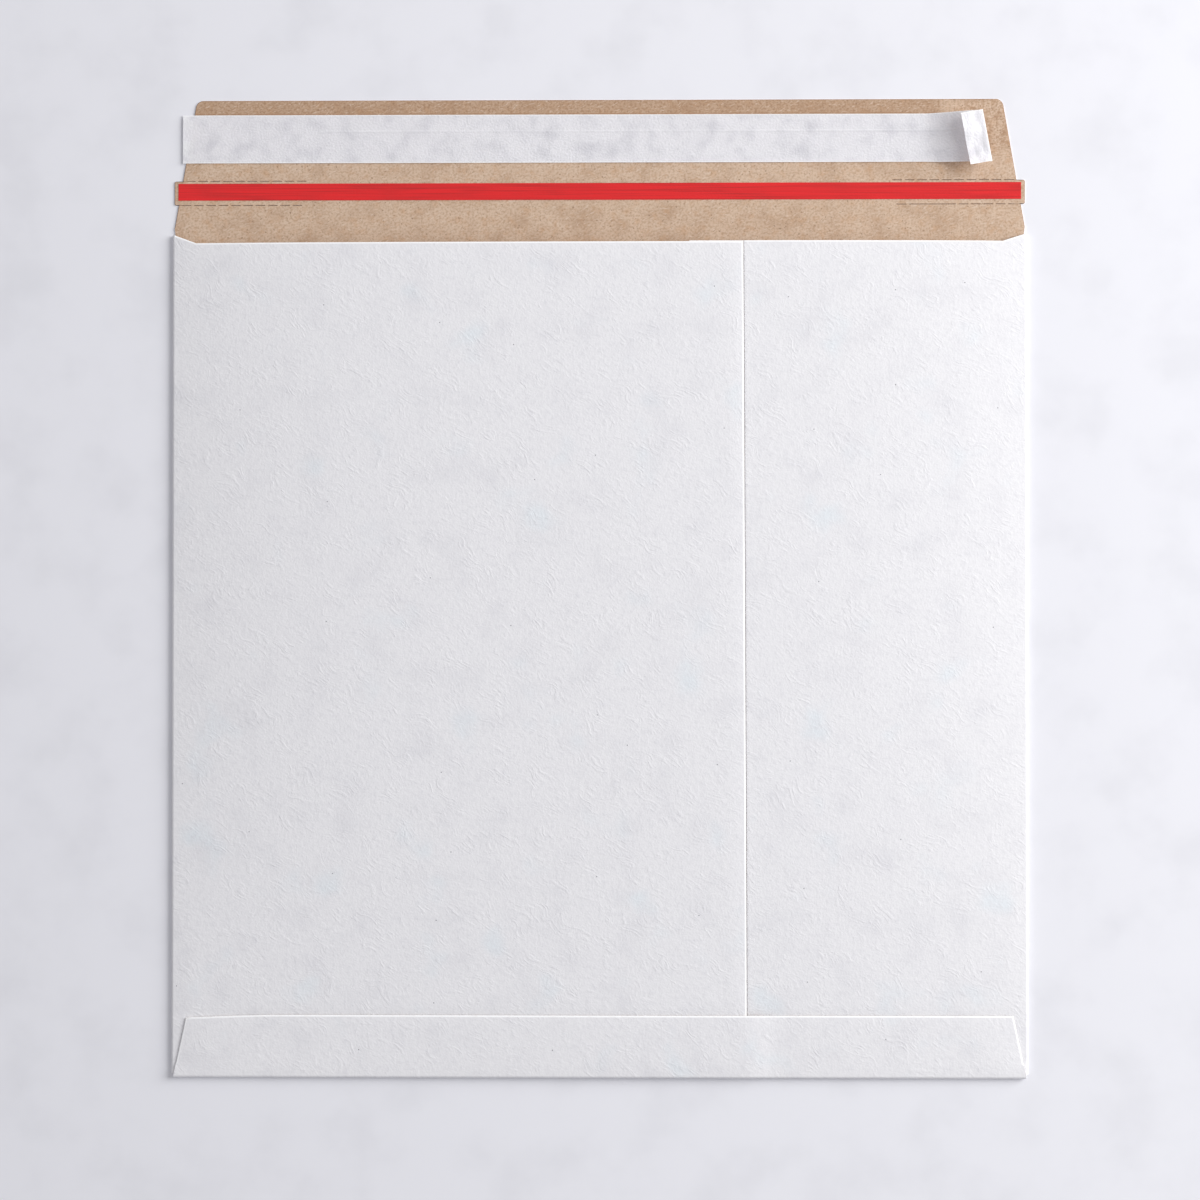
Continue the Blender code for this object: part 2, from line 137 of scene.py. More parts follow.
class Bench:
    """Edit-mode work on one object, with selections made by place."""

    def __init__(self, obj: bpy.types.Object) -> None:
        """Keeps the object that is worked on."""
        self.obj = obj

    def __enter__(self) -> "Bench":
        """Opens the object alone in edit mode, with nothing selected."""
        activate(self.obj)
        bpy.ops.object.mode_set(mode="EDIT")
        bpy.ops.mesh.select_all(action="DESELECT")
        return self

    def __exit__(self, *_: object) -> None:
        """Goes back to object mode."""
        bpy.ops.object.mode_set(mode="OBJECT")

    def select(self, element: Element, test: Test) -> None:
        """Selects the elements all of whose corners pass a test.

        Args:
            element: What to select.
            test: Says of a corner's place whether it passes.
        """
        bpy.ops.mesh.select_mode(type=element.value)
        bpy.ops.mesh.select_all(action="DESELECT")
        mesh = bmesh.from_edit_mesh(self.obj.data)
        if element is Element.VERT:
            for vert in mesh.verts:
                vert.select_set(test(vert.co))
        else:
            for item in mesh.edges if element is Element.EDGE else mesh.faces:
                item.select_set(all(test(vert.co) for vert in item.verts))
        mesh.select_flush_mode()
        bmesh.update_edit_mesh(self.obj.data)

    def select_between(self, one: Face, other: Face, test: Test) -> None:
        """Selects the edges where faces of two material slots meet.

        Args:
            one: The first slot.
            other: The second slot.
            test: Says of a corner's place whether it passes. Both ends of an edge must pass.
        """
        bpy.ops.mesh.select_mode(type="EDGE")
        bpy.ops.mesh.select_all(action="DESELECT")
        mesh = bmesh.from_edit_mesh(self.obj.data)
        for edge in mesh.edges:
            slots = {face.material_index for face in edge.link_faces}
            edge.select_set(slots == {one.value, other.value} and all(test(vert.co) for vert in edge.verts))
        bmesh.update_edit_mesh(self.obj.data)

    def reface(self, old: Face, new: Face, test: Test) -> None:
        """Moves faces from one material slot to another.

        Args:
            old: The slot they have.
            new: The slot they get.
            test: Says of a corner's place whether it passes. All corners of a face must pass.
        """
        mesh = bmesh.from_edit_mesh(self.obj.data)
        for face in mesh.faces:
            if face.material_index == old.value and all(test(vert.co) for vert in face.verts):
                face.material_index = new.value
        bmesh.update_edit_mesh(self.obj.data)

    def extrude(self, step: tuple[float, float, float]) -> None:
        """Extrudes the selection by a step."""
        bpy.ops.mesh.extrude_region_move(TRANSFORM_OT_translate={"value": step})

    def drop(self, test: Test) -> None:
        """Deletes the faces all of whose corners pass a test."""
        self.select(Element.FACE, test)
        bpy.ops.mesh.delete(type="FACE")

    def cut(self, axis: int, places: list[float], test: Test = lambda co: True) -> None:
        """Bisects faces across an axis.

        Args:
            axis: 0 for X, 1 for Y.
            places: Where along the axis to cut.
            test: Says of a corner's place whether it passes. Only faces whose corners all pass are cut.
        """
        normal = [0.0, 0.0, 0.0]
        normal[axis] = 1.0
        for place in places:
            point = [place * share for share in normal]
            self.select(Element.FACE, test)
            bpy.ops.mesh.bisect(plane_co=point, plane_no=normal, threshold=CUT)


def activate(obj: bpy.types.Object) -> None:
    """Selects one object alone and makes it the active one."""
    bpy.ops.object.select_all(action="DESELECT")
    obj.select_set(True)
    bpy.context.view_layer.objects.active = obj


def join(parts: list[bpy.types.Object]) -> bpy.types.Object:
    """Joins objects into the first of them."""
    bpy.ops.object.select_all(action="DESELECT")
    for part in parts:
        part.select_set(True)
    bpy.context.view_layer.objects.active = parts[0]
    bpy.ops.object.join()
    return parts[0]


def new_sheet(name: str, low: tuple[float, float], high: tuple[float, float], z: float) -> bpy.types.Object:
    """A flat sheet between two corners.

    Args:
        name: The object's name.
        low: The corner with the lowest X and Y.
        high: The corner with the highest X and Y.
        z: The height.

    Returns:
        The sheet, with its object at the origin.
    """
    bpy.ops.object.select_all(action="DESELECT")
    bpy.ops.mesh.primitive_plane_add(size=1.0, calc_uvs=False)
    sheet = bpy.context.active_object
    sheet.name = name
    size = (high[0] - low[0], high[1] - low[1], 1.0)
    middle = ((low[0] + high[0]) / 2, (low[1] + high[1]) / 2, z)
    with Bench(sheet):
        bpy.ops.mesh.select_all(action="SELECT")
        bpy.ops.transform.resize(value=size, center_override=(0.0, 0.0, 0.0))
        bpy.ops.transform.translate(value=middle)
    return sheet


def apply_modifier(obj: bpy.types.Object, kind: str, **settings: object) -> None:
    """Adds a modifier and applies it.

    Args:
        obj: The object.
        kind: The modifier's type.
        **settings: The modifier's values.
    """
    activate(obj)
    made = obj.modifiers.new(kind.lower(), kind)
    for name, value in settings.items():
        setattr(made, name, value)
    bpy.ops.object.modifier_apply(modifier=made.name)


def reshape(obj: bpy.types.Object, place: Place) -> None:
    """Moves each vertex to where a function puts it."""
    for vert in obj.data.vertices:
        vert.co = place(vert.co)


def lay_out(obj: bpy.types.Object, unfolded: Callable[[Vector], tuple[float, float]]) -> None:
    """Writes each point's place on the unfolded sheet to the sheet UV map.

    Args:
        obj: The object.
        unfolded: Gives the place for a vertex.
    """
    places = obj.data.uv_layers.new(name=SHEET)
    for loop in obj.data.loops:
        places.data[loop.index].uv = unfolded(obj.data.vertices[loop.vertex_index].co)


def outward(obj: bpy.types.Object, downwards: bool) -> None:
    """Turns an open sheet's faces to one side.

    Args:
        obj: The sheet.
        downwards: Whether its lowest face points down.
    """
    with Bench(obj):
        bpy.ops.mesh.select_all(action="SELECT")
        bpy.ops.mesh.remove_doubles(threshold=WELD)
        bpy.ops.mesh.normals_make_consistent(inside=False)
    lowest = min(obj.data.polygons, key=lambda face: face.center.z)
    if (lowest.normal.z < 0) != downwards:
        with Bench(obj):
            bpy.ops.mesh.select_all(action="SELECT")
            bpy.ops.mesh.flip_normals()


def settle(obj: bpy.types.Object, bottom: float, sharp: float) -> None:
    """Moves a finished mesh to its place in the frame and shades it.

    Args:
        obj: The object, modelled with Y counted from the bottom fold.
        bottom: The bottom fold's Y in the frame.
        sharp: The angle from which an edge stays sharp.
    """
    with Bench(obj):
        bpy.ops.mesh.select_all(action="SELECT")
        bpy.ops.transform.translate(value=(0.0, bottom, 0.0))
    activate(obj)
    bpy.ops.object.shade_smooth_by_angle(angle=sharp)


def add_node(
    tree: bpy.types.NodeTree,
    kind: str,
    settings: dict | None = None,
    inputs: dict | None = None,
    out: int | str = 0,
) -> Socket:
    """Adds a shader node.

    Args:
        tree: The node tree.
        kind: The node's type, without its ShaderNode prefix.
        settings: The node's own attributes.
        inputs: A value, or another node's output to link, for each input socket.
        out: Which of its outputs is wanted.

    Returns:
        The output.
    """
    made = tree.nodes.new("ShaderNode" + kind)
    for name, value in (settings or {}).items():
        setattr(made, name, value)
    for key, value in (inputs or {}).items():
        if isinstance(value, bpy.types.NodeSocket):
            tree.links.new(value, made.inputs[key])
        else:
            made.inputs[key].default_value = value
    return made.outputs[out]


class Pattern:
    """Procedural patterns over one material's coordinates, in metres."""

    def __init__(self, tree: bpy.types.NodeTree, uv_map: str | None) -> None:
        """Reads a UV map, or Object coordinates where none is named."""
        self.tree = tree
        if uv_map:
            self.place = add_node(tree, "UVMap", {"uv_map": uv_map}, out="UV")
        else:
            self.place = add_node(tree, "TexCoord", out="Object")

    def strands(self, length: float, width: float, angle: float = 0.0, detail: float = 2.0) -> Socket:
        """Noise drawn out along one direction, like fibres.

        Args:
            length: A strand's length.
            width: A strand's width.
            angle: The direction, from X towards Y.
            detail: How many finer layers the noise has.

        Returns:
            The noise's value.
        """
        drawn_out = {"Vector": self.place, "Rotation": (0.0, 0.0, angle), "Scale": (length, width, width)}
        stretched = add_node(self.tree, "Mapping", {"vector_type": "TEXTURE"}, drawn_out)
        levels = {"Vector": stretched, "Scale": 1.0, "Detail": detail}
        return add_node(self.tree, "TexNoise", None, levels, "Fac")

    def cloud(self, size: float, detail: float = 2.0) -> Socket:
        """Noise that is alike in all directions, with spots of a size."""
        return self.strands(size, size, 0.0, detail)

    def sway(self, size: float, reach: float) -> None:
        """Bends the coordinates, so that what is drawn next doesn't run dead straight.

        Args:
            size: How far apart the bends are.
            reach: How far a point moves.
        """
        bends = {"Vector": self.place, "Scale": 1 / size, "Detail": 1.0}
        drift = add_node(self.tree, "TexNoise", None, bends, "Color")
        for operation, inputs in (
            ("SUBTRACT", {1: (0.5, 0.5, 0.5)}),
            ("SCALE", {"Scale": 2 * reach}),
            ("ADD", {1: self.place}),
        ):
            drift = add_node(self.tree, "VectorMath", {"operation": operation}, {0: drift, **inputs})
        self.place = drift

    def mask(
        self, value: Socket, low: float, high: float, most: float = 1.0, where: Socket | None = None
    ) -> Socket:
        """Where a value is high, with soft edges.

        Args:
            value: The value.
            low: The level up to which the mask is 0.
            high: The level from which it is at its most.
            most: Its most.
            where: Another mask that this one is kept within.

        Returns:
            The mask.
        """
        levels = {"Value": value, "From Min": low, "From Max": high, "To Max": most}
        made = add_node(self.tree, "MapRange", {"interpolation_type": "SMOOTHSTEP"}, levels)
        if where is None:
            return made
        return add_node(self.tree, "Math", {"operation": "MULTIPLY"}, {0: made, 1: where})

    def beyond(self, axis: str, line: float, blur: float, where: Socket | None = None) -> Socket:
        """Where a coordinate is above a line.

        Args:
            axis: X or Y.
            line: The line's place on the axis.
            blur: The distance over which the mask rises. A negative one gives what lies below the line.
            where: Another mask that this one is kept within.

        Returns:
            The mask.
        """
        along = add_node(self.tree, "SeparateXYZ", None, {"Vector": self.place}, axis)
        return self.mask(along, line - blur / 2, line + blur / 2, 1.0, where)

    def specks(self, spacing: float, size: float, share: float) -> Socket:
        """Scattered dots.

        Args:
            spacing: The distance between the places that may hold a dot.
            size: A dot's radius.
            share: The share of the places that hold one.

        Returns:
            The dots' mask.
        """
        places = {"Vector": self.place, "Scale": 1 / spacing, "Randomness": 1.0}
        cells = add_node(self.tree, "TexVoronoi", {"voronoi_dimensions": "2D"}, places).node
        drawn = add_node(self.tree, "SeparateColor", None, {"Color": cells.outputs["Color"]})
        chosen = add_node(self.tree, "Math", {"operation": "LESS_THAN"}, {0: drawn, 1: share})
        return self.mask(cells.outputs["Distance"], size / spacing, 0.5 * size / spacing, 1.0, chosen)

    def added(self, start: float, *parts: tuple[Socket, float]) -> Socket:
        """Values added up, each by its share, from a start."""
        total = start
        for value, share in parts:
            total = add_node(self.tree, "Math", {"operation": "MULTIPLY_ADD"}, {0: value, 1: share, 2: total})
        return total

    def layered(self, base: str, layers: Layers) -> Socket:
        """Colours laid one over another.

        Args:
            base: The lowest colour, as sRGB hex.
            layers: Each further colour with its mask, from the bottom up.

        Returns:
            The colour.
        """
        laid = linear(base)
        for colour, mask in layers:
            laid = add_node(self.tree, "Mix", {"data_type": "RGBA"}, {0: mask, 6: laid, 7: linear(colour)}, 2)
        return laid

    def relief(self, reliefs: Reliefs) -> Socket:
        """The normal of reliefs that lie one on another.

        Args:
            reliefs: Each relief's height from 0 to 1, with the real height that 1 stands for, coarse to fine.

        Returns:
            The normal.
        """
        below = {}
        for height, depth in reliefs:
            raised = {"Height": height, "Distance": depth, "Strength": 1.0, **below}
            normal = add_node(self.tree, "Bump", None, raised)
            below = {"Normal": normal}
        return normal


@dataclass(frozen=True)
class Finish:
    """A surface finish, with the values that are the same all over it."""

    name: str
    roughness: float
    ior: float = 1.5
    uv_map: str | None = SHEET
    colour: str = "#E0E0E0"

    def build(self) -> bpy.types.Material:
        """Makes the material."""
        made = bpy.data.materials.new(self.name)
        made.use_nodes = True
        tree = made.node_tree
        shader = tree.nodes["Principled BSDF"]
        shader.inputs["Roughness"].default_value = self.roughness
        shader.inputs["IOR"].default_value = self.ior
        pattern = Pattern(tree, self.uv_map)
        layers, reliefs = self.paint(pattern)
        colour = pattern.layered(self.colour, layers)
        tree.links.new(colour, shader.inputs["Base Color"])
        if reliefs:
            tree.links.new(pattern.relief(reliefs), shader.inputs["Normal"])
        self.finish(tree, colour)
        return made

    def paint(self, pattern: Pattern) -> tuple[Layers, Reliefs]:
        """Draws the finish.

        Args:
            pattern: What it is drawn with.

        Returns:
            The colours over the base colour, from the bottom up, and the reliefs, from coarse to fine.
        """
        raise NotImplementedError

    def finish(self, tree: bpy.types.NodeTree, colour: Socket) -> None:
        """Adds what a finish has beside colour and relief."""


@dataclass(frozen=True)
class WhiteLinerboard(Finish):
    """White-lined solid board, uncoated and pressed on felt.

    Its fibres lie roughly one way and give the eye faint wisps in patches, a soft grain and a few specks.
    Real fibres are 2 mm long and too thin to show, so wisps and grain are drawn as coarse as they need to
    show.
    """

    colour: str = "#ECEBED"
    shade: str = "#DDDCE0"
    cool: str = "#E4E9ED"
    speck: str = "#8E8D92"
    cool_spot: float = 22.0 * MM
    cloud: float = 14.0 * MM
    grain: float = 0.9 * MM
    felt: float = 2.1 * MM
    sway: tuple[float, float] = (11.0 * MM, 6.0 * MM)
    wisp: tuple[float, float] = (6.0 * MM, 1.4 * MM)
    wisp_angle: float = math.radians(36.0)
    patch: float = 10.0 * MM
    speck_radius: float = 0.3 * MM
    speck_spacing: float = 36.0 * MM
    felt_depth: float = 0.077 * MM
    grain_depth: float = 0.0875 * MM

    def paint(self, pattern: Pattern) -> tuple[Layers, Reliefs]:
        """Draws clouds, specks and a veil of felt, with the wisps in the relief."""
        cool, clouds = pattern.cloud(self.cool_spot), pattern.cloud(self.cloud, 3.0)
        specks = pattern.specks(self.speck_spacing, self.speck_radius, 0.5)
        grain, felt = pattern.cloud(self.grain), pattern.cloud(self.felt)
        pattern.sway(*self.sway)
        patches = pattern.mask(pattern.cloud(self.patch, 1.0), 0.38, 0.66)
        wisps = pattern.mask(pattern.strands(*self.wisp, self.wisp_angle), 0.42, 0.75, 1.0, patches)
        layers = [
            (self.cool, pattern.mask(cool, 0.58, 0.82)),
            (self.shade, pattern.mask(clouds, 0.42, 1.05)),
            (self.shade, pattern.mask(felt, 0.4, 0.9, 0.6)),
            (self.speck, specks),
        ]
        felted = pattern.added(0.0, (felt, 1.0), (wisps, 0.9))
        return layers, [(felted, self.felt_depth), (grain, self.grain_depth)]


@dataclass(frozen=True)
class KraftBoard(Finish):
    """Unbleached kraft, the board's inner side, uncoated.

    It gives the eye a mottled brown with dark bark specks and pale fibres. Grain and fibres are drawn as
    coarse as they need to show.
    """

    colour: str = "#D3B9A1"
    dark: str = "#A68467"
    warm: str = "#C8A382"
    pale: str = "#DFCBB8"
    speck: str = "#7D5E43"
    blotch: float = 11.0 * MM
    warm_spot: float = 4.0 * MM
    corner_spot: float = 3.0 * MM
    grain: float = 0.9 * MM
    fleck: float = 1.1 * MM
    sway: tuple[float, float] = (5.0 * MM, 1.5 * MM)
    fibre: tuple[float, float] = (2.4 * MM, 0.5 * MM)
    fibre_angle: float = math.radians(20.0)
    depth: float = 0.03 * MM
    band_from: float = 388.9 * MM
    band_until: float = 138.0 * MM
    # the darker brown of the band above the liner, of the painted shadow line along the liner's top edge and
    # of the darker corner
    darker_brown: str = "#9C7350"
    corner: tuple[float, float] = (146.0 * MM, 374.0 * MM)

    def paint(self, pattern: Pattern) -> tuple[Layers, Reliefs]:
        """Draws blotches, a darker band above the liner with painted shadow along its edge, a darker corner
        beside it, grain, pale fibres and flecks.
        """
        beside_tail = pattern.beyond("X", self.band_until, -8 * MM)
        dark_band = pattern.beyond("Y", self.band_from, 0.5 * MM, beside_tail)
        # A thin line just above the liner's top edge: painted shadow of the liner's edge on the kraft.
        edge = pattern.beyond("Y", self.band_from + 0.5 * MM, -0.6 * MM, dark_band)
        # A darker blotchy patch towards the flap's upper right corner.
        right_of, above = self.corner
        dark_corner = pattern.beyond("X", right_of, 14 * MM, pattern.beyond("Y", above, 14 * MM))
        grain = pattern.cloud(self.grain, 3.0)
        grained = pattern.added(0.66, (dark_band, 0.6), (dark_corner, 0.4))
        layers = [
            (self.dark, pattern.mask(pattern.cloud(self.blotch, 4.0), 0.4, 0.8, 0.55)),
            (self.warm, pattern.mask(pattern.cloud(self.warm_spot, 3.0), 0.46, 0.8, 0.8)),
            # The darker band above the liner, and the painted shadow line along its lower edge.
            (self.darker_brown, pattern.added(0.0, (dark_band, 0.42), (edge, 0.4))),
            # The darker blotches towards the flap's upper right corner.
            (self.darker_brown, pattern.mask(pattern.cloud(self.corner_spot, 3.0), 0.4, 0.7, 0.55, dark_corner)),
            (self.dark, pattern.mask(grain, 0.38, 0.75, 1.0, grained)),
        ]
        flecks = pattern.cloud(self.fleck, 1.0)
        pattern.sway(*self.sway)
        fibres = pattern.strands(*self.fibre, self.fibre_angle)
        layers.append((self.pale, pattern.mask(fibres, 0.52, 0.8, 0.7)))
        layers.append((self.speck, pattern.mask(flecks, 0.66, 0.76, 0.6)))
        return layers, [(pattern.added(0.0, (grain, 1.0), (fibres, 0.6)), self.depth)]


@dataclass(frozen=True)
class CutBoard(Finish):
    """The board's die-cut edge. The knife crushed it, which gives the eye a thin line with little grain,
    near-white with painted highlight on the front, darker brown with painted shade on the flap and in the
    slits.
    """

    # near-white, brighter than the board's face: partly painted highlight along the cut edges
    colour: str = "#FDFDFE"
    shade: str = "#F3F1F0"
    spot: float = 3.0 * MM

    def paint(self, pattern: Pattern) -> tuple[Layers, Reliefs]:
        """Draws a slight unevenness along the cut."""
        return [(self.shade, pattern.mask(pattern.cloud(self.spot, 3.0), 0.45, 0.9))], []


@dataclass(frozen=True)
class ReleasePaper(Finish):
    """Siliconed release paper, thin and faintly glossy.

    Light gets into it, so it looks cloudy where it is stuck down and white where it is loose, and the
    shadow under its lifted end stays pale. Its tooth and crinkles are drawn as coarse as they need to show.
    """

    colour: str = "#FAF9FB"
    cloud: str = "#E8E7EB"
    dry: str = "#FFFFFF"
    cloud_size: float = 8.0 * MM
    loose_spot: float = 6.0 * MM
    sway: tuple[float, float] = (8.0 * MM, 3.0 * MM)
    tooth: float = 0.9 * MM
    tooth_depth: float = 0.19 * MM
    crinkle: tuple[float, float] = (7.0 * MM, 1.1 * MM)
    crinkle_angle: float = math.radians(42.0)
    cockle_depth: float = 0.12 * MM
    stuck_half: float = 9.35 * MM
    stuck_from: float = 4.5 * MM
    translucency: float = 0.3

    def paint(self, pattern: Pattern) -> tuple[Layers, Reliefs]:
        """Draws clouds, slanted crinkles and a fine tooth, with the loose margins and left end paler."""
        above = pattern.beyond("Y", self.stuck_half, 0.3 * MM)
        below = pattern.beyond("Y", -self.stuck_half, -0.3 * MM)
        left_end = pattern.beyond("X", self.stuck_from, -6 * MM)
        loose = pattern.mask(pattern.cloud(self.loose_spot, 1.0), 0.4, 0.65, 1.0, left_end)
        clouds, tooth = pattern.cloud(self.cloud_size, 4.0), pattern.cloud(self.tooth)
        pattern.sway(*self.sway)
        crinkles = pattern.strands(*self.crinkle, self.crinkle_angle, 3.0)
        layers = [
            (self.cloud, pattern.mask(clouds, 0.4, 0.85)),
            (self.cloud, pattern.mask(crinkles, 0.5, 0.85, 0.4)),
            (self.dry, pattern.added(0.0, (above, 1.0), (below, 1.0), (loose, 0.9))),
        ]
        cockled = pattern.added(0.0, (clouds, 1.0), (crinkles, 0.8))
        return layers, [(cockled, self.cockle_depth), (tooth, self.tooth_depth)]

    def finish(self, tree: bpy.types.NodeTree, colour: Socket) -> None:
        """Lets a share of the light through the paper."""
        through = add_node(tree, "BsdfTranslucent", None, {"Color": colour})
        both = {0: self.translucency, 1: tree.nodes["Principled BSDF"].outputs[0], 2: through}
        mixed = add_node(tree, "MixShader", None, both)
        tree.links.new(mixed, tree.nodes["Material Output"].inputs["Surface"])


@dataclass(frozen=True)
class TearFilm(Finish):
    """Red polypropylene tear film. It was drawn lengthwise, which gives the eye streaks along it.

    The streaks are drawn as coarse as they need to show.
    """

    colour: str = "#E01A1D"
    streak: str = "#B01614"
    tooth: float = 0.7 * MM
    fine: tuple[float, float] = (45.0 * MM, 0.5 * MM)
    broad: tuple[float, float] = (30.0 * MM, 4.0 * MM)
    depth: float = 0.045 * MM

    def paint(self, pattern: Pattern) -> tuple[Layers, Reliefs]:
        """Draws long fine streaks, broad faint ones and a tooth."""
        fine, broad = pattern.strands(*self.fine), pattern.strands(*self.broad)
        layers = [
            (self.streak, pattern.mask(fine, 0.42, 0.8)),
            (self.streak, pattern.mask(broad, 0.45, 0.8, 0.6)),
        ]
        toothed = pattern.added(0.0, (fine, 1.0), (pattern.cloud(self.tooth, 1.0), 1.2))
        return layers, [(toothed, self.depth)]


@dataclass(frozen=True)
class Adhesive(Finish):
    """A dried or tacky glue film, milky and a little uneven."""

    colour: str = "#E4DECB"
    thin: str = "#D3C9AE"
    spot: float = 3.0 * MM
    depth: float = 0.05 * MM

    def paint(self, pattern: Pattern) -> tuple[Layers, Reliefs]:
        """Draws thick and thin spots."""
        uneven = pattern.cloud(self.spot, 3.0)
        return [(self.thin, pattern.mask(uneven, 0.4, 0.7))], [(uneven, self.depth)]


@dataclass(frozen=True)
class StudioFloor(Finish):
    """A matt painted floor, pale with the faintest mottle."""

    colour: str = "#ECECF1"
    mottle: str = "#E5E5EA"
    spot: float = 28.0 * MM

    def paint(self, pattern: Pattern) -> tuple[Layers, Reliefs]:
        """Draws the mottle."""
        return [(self.mottle, pattern.mask(pattern.cloud(self.spot, 3.0), 0.4, 0.8))], []


@dataclass
class BoardBlank:
    """The die-cut and folded sheet of board, with body, glued bottom flap and closing flap in one.

    It is drawn along the middle of the board and thickened at the end, so heights are the board's middle.
    """

    bottom: float
    half_width: float
    board: float = 0.5 * MM
    height: float = 340.0 * MM
    mouth_drop: float = 2.8 * MM
    mouth_bevel: float = 9.6 * MM
    left_lower: float = 0.4 * MM
    seam_slant: float = 1.4 * MM
    slant_centre: float = 0.72  # the share of the height at which the slanted seam crosses its place
    slant_still: float = 2.0 * MM
    slant_run: float = 30.0 * MM
    right_panel_shown: float = 114.0 * MM
    seam_overlap: float = 22.0 * MM
    lift_run: float = 150.0 * MM
    side_fold_gap: float = 1.0 * MM
    mouth_gape: float = 5.0 * MM
    gape_across: float = 4.0
    gape_along: float = 3.5
    fold_reach: float = 1.1 * MM
    panel_tuck: float = 0.5 * MM
    glue_gap: float = 0.2 * MM
    bottom_flap: float = 25.3 * MM
    bottom_inset: float = 5.0 * MM
    bottom_radius: float = 1.0 * MM
    bottom_droop: float = 1.5 * MM
    droop_run: float = 42.0 * MM
    droop_curve: float = 1.5
    step_run: float = 14.0 * MM
    flap_height: float = 54.8 * MM
    flap_shoulder: float = 0.9 * MM
    flap_inset: float = 9.5 * MM
    corner: float = 2.6 * MM
    tab_inset: float = 0.55 * MM
    tab_corner: float = 0.8 * MM
    strip_start: float = 12.3 * MM
    strip_width: float = 9.8 * MM
    slit_length: float = 3.7 * MM
    slit_width: float = 0.16 * MM
    slit_tie: float = 1.3 * MM
    slits_per_line: int = 10
    slit_dent: float = 0.1 * MM
    torn_ties: tuple[int, ...] = (5, 6, 7)  # counted in from the right end of the lower line
    crease_setback: float = 3.0 * MM
    bend_end: float = 6.0 * MM
    press: float = 0.27 * MM
    press_run: float = 0.72 * MM
    slope_depth: float = 0.25 * MM
    slope_run: float = 3.0 * MM
    slope_side_run: float = 12.0 * MM
    front_chamfers: tuple[float, ...] = (0.42 * MM, 0.24 * MM)
    flap_chamfer: float = 0.26 * MM
    corner_slack: float = 0.08 * MM  # thickening moves the corners at the side folds a little outwards
    sharp: float = math.radians(22.0)
    corner_steps: int = 6
    tab_steps: int = 4
    chamfer_steps: int = 2
    fold_steps: int = 16
    columns: int = 40
    rows: int = 34
    bend_rows: int = 14
    cut_gap: float = 1.0 * MM  # cuts that are closer than this to an edge would break its chamfer

    def __post_init__(self) -> None:
        """Works out the places that follow from the sizes."""
        self.back_z = self.board / 2
        self.side_radius = (self.board + self.side_fold_gap) / 2
        self.half = self.half_width - self.board / 2 - self.side_radius
        self.layer = self.board + self.glue_gap
        self.mouth = self.height - self.mouth_drop
        self.bevel_x = self.half_width - self.mouth_bevel
        self.seam_x = self.half_width - self.right_panel_shown
        self.hidden_x = self.seam_x - self.seam_overlap
        self.start = self.fold_reach + self.panel_tuck
        self.top = self.height + self.flap_height
        self.strip_low = self.height + self.strip_start
        self.strip_high = self.strip_low + self.strip_width
        self.tab_x = self.half_width - self.tab_inset

    def flap_half(self, up: float) -> float:
        """Half the width of the back panel or, above the notches, of the closing flap."""
        if up <= self.height:
            return self.half
        return self.half + self.flap_shoulder - self.flap_inset * (up - self.height) / self.flap_height

    def gape(self, x: float, up: float) -> float:
        """Clear height inside the envelope at a place."""
        across = 1 - (min(abs(x), self.half) / self.half) ** self.gape_across
        along = 1 - (1 - min(max(up, 0.0), self.mouth) / self.mouth) ** self.gape_along
        return self.side_fold_gap + (self.mouth_gape - self.side_fold_gap) * across * along

    def right_z(self, x: float, up: float) -> float:
        """Height of the right front panel."""
        return self.back_z + self.board + self.gape(x, up)

    def left_z(self, x: float, up: float) -> float:
        """Height of the left front panel, which rises onto the right one."""
        return self.right_z(x, up) + self.layer * smooth((x - self.hidden_x + self.lift_run) / self.lift_run)

    def bottom_z(self, x: float, up: float) -> float:
        """Height of the bottom flap, which lies on both front panels."""
        if x <= self.seam_x:
            return self.left_z(x, up) + self.layer
        step = self.layer * (1 - smooth((x - self.seam_x) / self.step_run))
        return self.right_z(x, up) + step + self.layer

    def slanted(self, co: Vector) -> float:
        """How far the seam's slant moves a point along X. The left panel was glued down a little askew."""
        near = 1 - smooth((abs(co.x - self.seam_x) - self.slant_still) / self.slant_run)
        return self.seam_slant * near * (self.slant_centre - co.y / self.height)

    def slope(self, up: float) -> float:
        """How far the bottom flap's upper edge has pressed the front panels down."""
        return self.slope_depth * (1 - smooth((up - self.bottom_flap) / self.slope_run))

    def column_places(self) -> list[float]:
        """Where all layers are cut across X."""
        inside = self.bevel_x - 2 * self.cut_gap
        return [x for x in spaced(-self.half, self.half, self.columns) if abs(x) < inside]

    def row_places(self) -> list[float]:
        """Where the body's layers are cut across Y."""
        near_flap = [self.bottom_flap + share * self.slope_run for share in (0.0, 0.3, 0.65, 1.0)]
        even = spaced(self.start, self.mouth, self.rows)[1:-1]
        kept = [up for up in even if all(abs(up - near) > self.cut_gap for near in near_flap)]
        return sorted(kept + near_flap)

